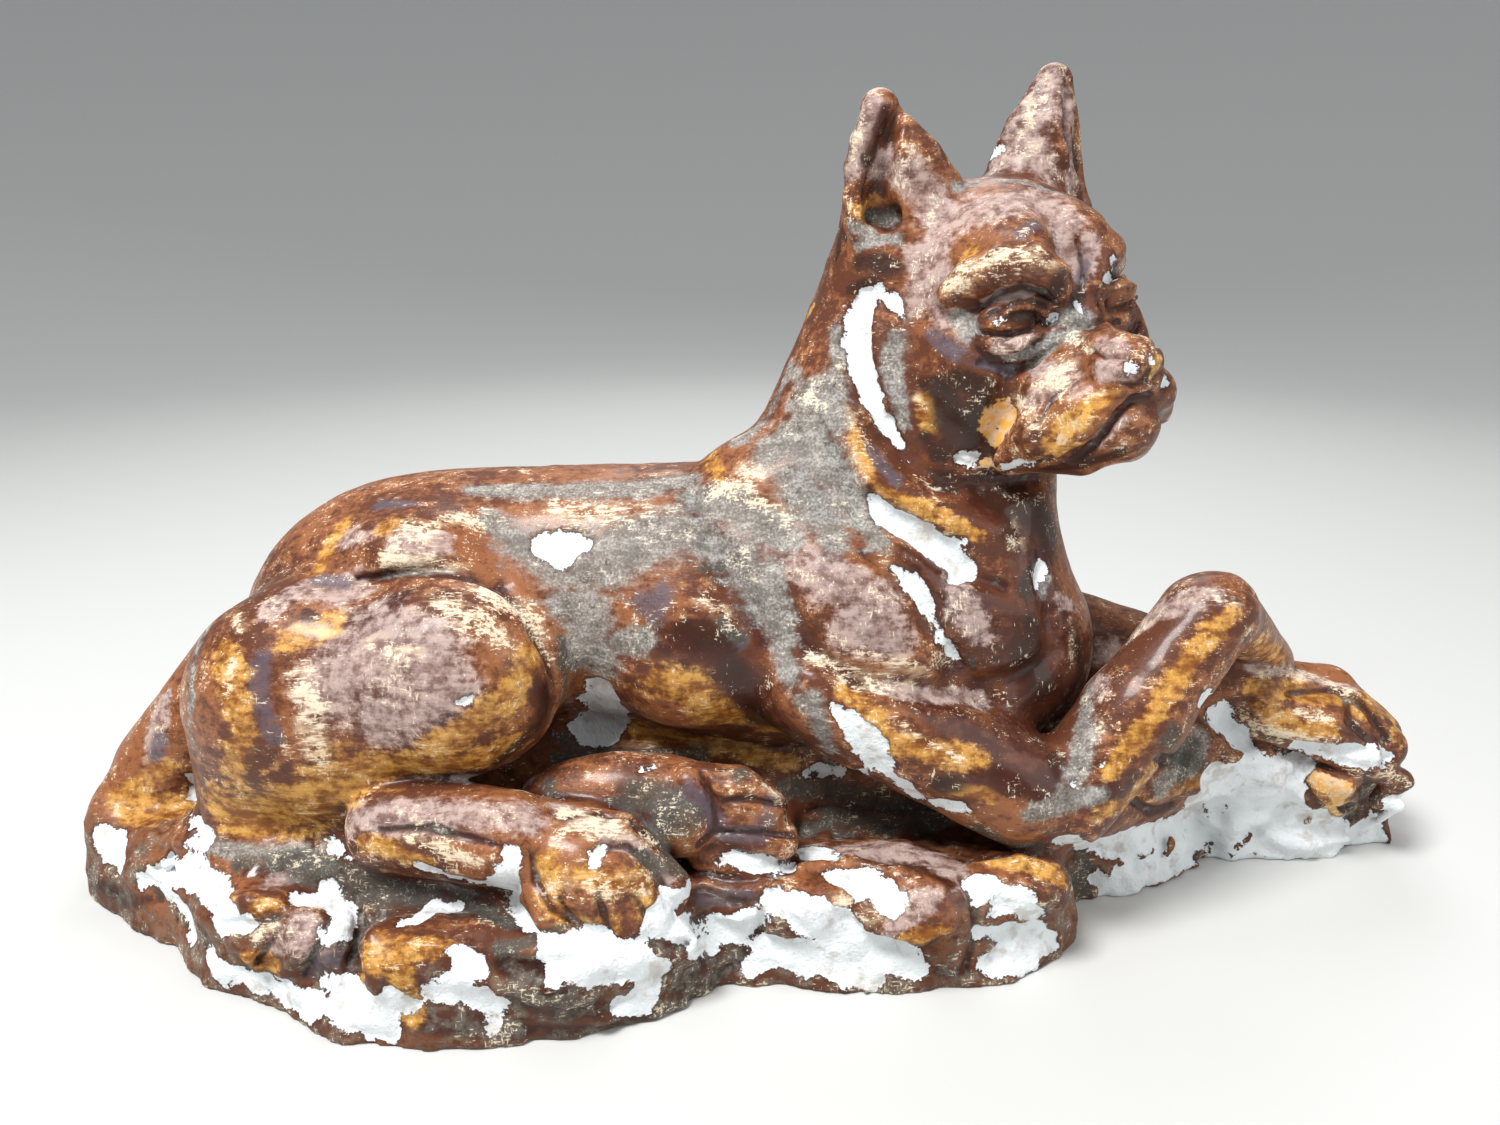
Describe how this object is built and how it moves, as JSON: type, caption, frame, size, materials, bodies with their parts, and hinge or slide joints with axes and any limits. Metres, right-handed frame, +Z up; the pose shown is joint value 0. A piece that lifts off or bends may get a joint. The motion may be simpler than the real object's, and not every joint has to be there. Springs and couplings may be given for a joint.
{
  "type": "dog statue",
  "caption": "Cast plaster statue of a lying dog with upright ears, its head turned to the side, on a rough flat-bottomed ground slab; stands freely on its underside",
  "frame": {"origin": "middle of the bounding box, on the flat underside that rests on the table", "axes": "+Z up; +X along the lying body from the rump towards the fore paws; +Y towards the dog's left side, so that the head looks towards -Y and +X"},
  "size_m": [0.3996, 0.1538, 0.2274],
  "materials": {
    "painted_plaster": "cast plaster under an old mahogany-brown glaze with worn gold lights, dusty in the hollows, chipped through to rough white plaster"
  },
  "bodies": {
    "root": {"dog_statue": "painted_plaster"}
  },
  "joints": []
}
